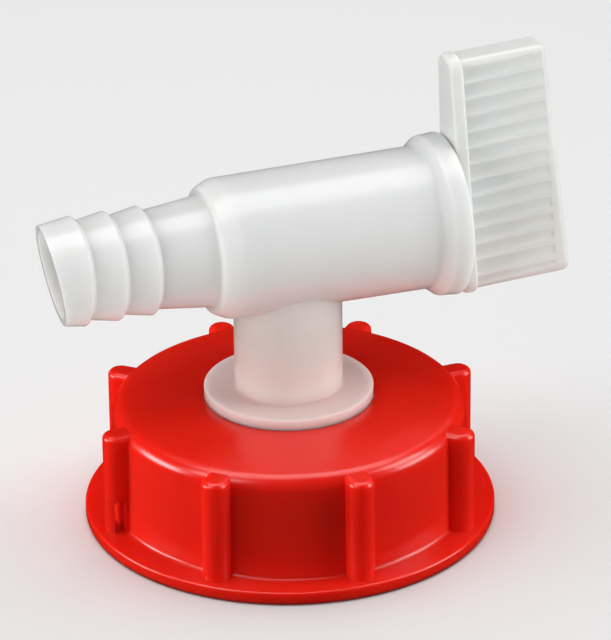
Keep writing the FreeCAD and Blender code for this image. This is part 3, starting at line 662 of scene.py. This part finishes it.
def paddle(name, inset, start, end, top_round=3.2):
    """A tapered paddle standing on the YZ plane, between two stations along X."""
    foot, top = HANDLE_FOOT + inset, HANDLE_TOP - inset
    wide, narrow = FOOT_HALF - inset, TOP_HALF - inset
    places = [Vector(place) * MM for place in (
        (start, -wide, foot), (start, wide, foot), (start, narrow, top), (start, -narrow, top))]
    piece = draw_line(name, places, closed=True)
    round_corners(piece, places, [FOOT_ROUND - inset] * 2 + [top_round - inset] * 2)
    bpy.ops.mesh.select_all(action="SELECT")
    bpy.ops.mesh.edge_face_add()
    thickness = Vector((end - start, 0.0, 0.0)) * MM
    bpy.ops.mesh.extrude_region_move(TRANSFORM_OT_translate={"value": thickness})
    bpy.ops.mesh.select_all(action="SELECT")
    bpy.ops.mesh.normals_make_consistent(inside=False)
    bpy.ops.object.mode_set(mode="OBJECT")
    return piece


def make_handle(finish):
    """Fluted paddle with a rim, cored from its outer end."""
    rim = paddle("handle_shell", 0.0, 0.0, RIM)
    ease(rim, lambda edge: middle(edge).x < 0.01 and fold(edge) > 0.5, 0.9, 5)
    ease(rim, lambda edge: middle(edge).x > RIM - 0.01 and fold(edge) > 0.5, 0.4)
    grip = paddle("grip", GRIP_INSET, GRIP_START, GRIP_LENGTH + 3.0, top_round=1.9)
    combine(grip, end_cutter(), "DIFFERENCE")
    ease(grip, lambda edge: middle(edge).x > GRIP_LENGTH - 2.0 and fold(edge) > 0.5, 2.2, 6)
    for first in (0, 1):
        combine(grip, flute_cutters(first), "DIFFERENCE")
    combine(rim, grip, "UNION")
    combine(rim, paddle("core", WALL, CORE_START, 40.0), "DIFFERENCE")
    combine(rim, upper_core(), "DIFFERENCE")
    socket = block("socket", (-2.0, -3.35, -7.55), (SOCKET_DEPTH, 3.35, 7.55))
    combine(rim, socket, "DIFFERENCE")
    open_up(rim)
    pick(rim, "EDGE", beside_flute)
    bpy.ops.mesh.mark_sharp()
    bpy.ops.object.mode_set(mode="OBJECT")
    seat = Matrix.Translation(Vector((SEAT, 0.0, AXIS_HEIGHT)) * MM)
    rim.data.transform(seat @ Matrix.Rotation(-RAKE, 4, "Y"))
    return finish_piece(rim, finish, "handle_plastic", "valve", "handle")


def end_cutter():
    """Block that leaves the outer end of the grip leaning back towards its top."""
    cutter = block("end_cutter", (0.0, -10.0, -40.0), (10.0, 10.0, 50.0))
    outward = Matrix.Translation((GRIP_LENGTH * MM, 0.0, 0.0))
    cutter.data.transform(outward @ Matrix.Rotation(-GRIP_TILT, 4, "Y"))
    return cutter


def flank(height):
    """Half width of the grip at a height above the barrel's axis."""
    share = (height - HANDLE_FOOT - GRIP_INSET) / (HANDLE_TOP - HANDLE_FOOT - 2 * GRIP_INSET)
    return FOOT_HALF - GRIP_INSET - share * (FOOT_HALF - TOP_HALF)


def beside_flute(edge):
    """The crisp edges where a flute sinks into the flank."""
    first, second = ends(edge)
    spot = (first + second) / 2
    if not RIM - 0.01 < spot.x < GRIP_LENGTH - 1.0 or abs(spot.y) < 2.0:
        return False
    on_flank = all(abs(abs(end.y) - flank(end.z)) < 0.02 for end in (first, second))
    lengthwise = abs(first.x - second.x) > 0.9 * (first - second).length
    return (on_flank and abs(fold(edge)) > math.radians(2)) \
        or (lengthwise and fold(edge) > math.radians(13))


def flute_cutters(first):
    """Every other round bar on each flank.

    A bar is deep at the rim and runs out towards the end, and its upper edge stays level, so a
    flute narrows from below.
    """
    radius = (FLUTE_CHORD ** 2 / 4 + FLUTE_DEPTH ** 2) / (2 * FLUTE_DEPTH)
    cutters = []
    for side in (-1, 1):
        for number in range(first, FLUTE_COUNT, 2):
            height = FIRST_FLUTE + number * FLUTE_PITCH
            upper = height + FLUTE_CHORD / 2
            out = side * (flank(height) + radius - FLUTE_DEPTH)
            work_on()
            bpy.ops.mesh.primitive_cylinder_add(
                vertices=48, radius=radius * MM, depth=FLUTE_RUN * MM,
                rotation=(0.0, math.pi / 2, 0.0),
                location=Vector((FLUTE_START + FLUTE_RUN / 2, out, height)) * MM)
            bar = bpy.context.object
            bpy.ops.object.transform_apply(location=True, rotation=True, scale=True)
            open_up(bar)
            pick(bar, "FACE", lambda face: face.normal.x > 0.9)
            edge = Vector((0.0, side * flank(upper), upper)) * MM
            bpy.ops.transform.resize(value=FLUTE_END_SHARE, center_override=edge)
            bpy.ops.object.mode_set(mode="OBJECT")
            cutters.append(bar)
    return join(cutters)


def upper_core():
    """Hollow of the upper wing, behind the rim."""
    wide = flank(UPPER_CORE_FOOT) - (WALL - GRIP_INSET)
    narrow = TOP_HALF - WALL
    core = block("upper_core", (RIM, -wide, UPPER_CORE_FOOT),
                 (SOCKET_DEPTH, wide, HANDLE_TOP - WALL))
    open_up(core)
    pick(core, "FACE", lambda face: face.normal.z > 0.9)
    bpy.ops.transform.resize(value=(1.0, narrow / wide, 1.0))
    bpy.ops.object.mode_set(mode="OBJECT")
    return core


# ---------------------------------------------------------------- studio

# Places and sizes of the lights are metres, and each side box is its name, the azimuth and the
# elevation in degrees, and the power in watts.
SKY = 0.17
RING = 0.75
RING_HEIGHT = 0.03
SIDE_BOX = (0.4, 0.26)
CAP_AIM = 0.02
CAP_BOXES = [("cap_left_low", 165, 8, 4.2), ("cap_left_high", -160, 35, 1.8),
             ("cap_right_low", -25, 8, 2.6), ("cap_right_high", -25, 35, 2.2)]
MILKY_BOXES = [("left_high", 165, 35, 1.6), ("left_low", -160, 8, 2.4), ("front", -90, 20, 0.8),
               ("right_low", -25, 8, 1.5), ("right_high", -25, 35, 2.3), ("back", 75, 5, 1.0)]


def stand_camera():
    """Camera at the photograph's viewing angle."""
    back = Vector((math.sin(EYE_AZIMUTH) * math.cos(EYE_ELEVATION),
                   -math.cos(EYE_AZIMUTH) * math.cos(EYE_ELEVATION), math.sin(EYE_ELEVATION)))
    level = (-back).cross(Vector((0.0, 0.0, 1.0))).normalized()
    upright = level.cross(-back)
    across = math.cos(EYE_ROLL) * level + math.sin(EYE_ROLL) * upright
    up = math.cos(EYE_ROLL) * upright - math.sin(EYE_ROLL) * level
    camera = bpy.data.objects.new("camera", bpy.data.cameras.new("camera"))
    bpy.context.scene.collection.objects.link(camera)
    camera.data.sensor_width = SENSOR
    camera.data.lens = FOCAL_PIXELS / PHOTO_HEIGHT * SENSOR
    camera.data.clip_start, camera.data.clip_end = 0.01, 20.0
    camera.matrix_world = Matrix.Translation((EYE_TARGET + back * EYE_DISTANCE) * MM) @ Matrix(
        (across, up, back)).transposed().to_4x4()
    bpy.context.scene.camera = camera


def softbox(name, place, aim, size, power, pieces=None, shades=None, diffuse=True, gloss=True):
    """A rectangular soft light.

    With pieces given it lights nothing else, and with shades given nothing else gets in its way.
    It can light without showing in the gloss, or show in the gloss alone.
    """
    lamp = bpy.data.lights.new(name, "AREA")
    lamp.shape, lamp.size, lamp.size_y = "RECTANGLE", size[0], size[1]
    lamp.energy = power
    stand = bpy.data.objects.new(name, lamp)
    if pieces:
        stand.light_linking.receiver_collection = group_of("lit_by_" + name, pieces)
    if shades:
        stand.light_linking.blocker_collection = group_of("shading_" + name, shades)
    bpy.context.scene.collection.objects.link(stand)
    stand.visible_diffuse, stand.visible_glossy, stand.visible_camera = diffuse, gloss, False
    stand.location = place
    stand.rotation_mode = "QUATERNION"
    stand.rotation_quaternion = (Vector(aim) - Vector(place)).to_track_quat("-Z", "Y")


def group_of(name, pieces):
    """A collection for a light's list of pieces."""
    group = bpy.data.collections.new(name)
    for piece in pieces:
        group.objects.link(piece)
    return group


def around(azimuth, elevation):
    """A place on the ring of side boxes, given in degrees."""
    azimuth, elevation = math.radians(azimuth), math.radians(elevation)
    level = RING * math.cos(elevation)
    height = RING_HEIGHT + RING * math.sin(elevation)
    return (level * math.cos(azimuth), level * math.sin(azimuth), height)


def lay_floor():
    """Pale floor a hair below the cap, which throws no light of its own back on the pieces."""
    work_on()
    bpy.ops.mesh.primitive_plane_add(size=6.0, location=(0.0, 0.0, -0.0002))
    floor = bpy.context.object
    floor.name = floor.data.name = "floor"
    bpy.ops.object.transform_apply(location=True, rotation=True, scale=True)
    paper, tree, shader = new_finish("pale_paper")
    shader.inputs["Base Color"].default_value = (0.86, 0.86, 0.86, 1.0)
    shader.inputs["Roughness"].default_value = 0.9
    shader.inputs["Specular IOR Level"].default_value = 0.1
    floor.data.materials.append(paper)
    floor.visible_glossy = floor.visible_diffuse = False
    return floor


def light_studio(red_side, milky_side, floor):
    """Overhead light for everything, and side boxes for the cap and for the milky plastic."""
    world = bpy.data.worlds.new("studio")
    bpy.context.scene.world = world
    world.use_nodes = True
    sky = world.node_tree.nodes["Background"]
    sky.inputs["Color"].default_value = (1.0, 1.0, 1.0, 1.0)
    sky.inputs["Strength"].default_value = SKY
    world.cycles_visibility.glossy = False
    softbox("overhead", (0.0, 0.02, 0.60), (0.0, 0.0, 0.03), (0.8, 0.5), 1.2)
    softbox("shine", (0.0, 0.064, 0.60), (0.0, 0.064, 0.0), (0.8, 0.36), 2.2, diffuse=False)
    softbox("back_glow", (0.0, 0.80, 0.30), (0.0, 0.0, 0.05), (1.2, 0.8), 0.9, milky_side,
            diffuse=False)
    softbox("floor_light", (0.0, 0.3, 1.10), (0.0, 0.3, 0.0), (1.6, 1.6), 12.0, [floor])
    for name, azimuth, elevation, power in CAP_BOXES:
        softbox(name, around(azimuth, elevation), (0.0, 0.0, CAP_AIM), SIDE_BOX, power, red_side)
    for name, azimuth, elevation, power in MILKY_BOXES:
        softbox(name, around(azimuth, elevation), (0.0, 0.0, AXIS_HEIGHT * MM), SIDE_BOX, power,
                milky_side, gloss=False)
    softbox("reflector", (0.0, -0.05, -0.40), (0.0, 0.0, 0.05), (1.0, 1.0), 3.2, milky_side,
            milky_side + red_side, gloss=False)
    bpy.context.scene.view_settings.view_transform = "Standard"


# ---------------------------------------------------------------- assembly

stand_camera()
floor = lay_floor()

red, natural = cap_red(), natural_white()
cap, thread = make_screw_cap(red), make_cap_thread(red)
tap = make_tap_body(natural)
handle = make_handle(handle_white())

milk, rubber = plug_white(), seal_black()
hidden = {"plug": milk, "swivel_insert": milk, "rim_gasket": rubber, "neck_seal": rubber,
          "front_o_ring": rubber, "rear_o_ring": rubber}
for name, finish in hidden.items():
    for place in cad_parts[name].material_slots:
        place.material = finish

light_studio([cap, thread], [tap, handle] + [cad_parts[name] for name in hidden], floor)
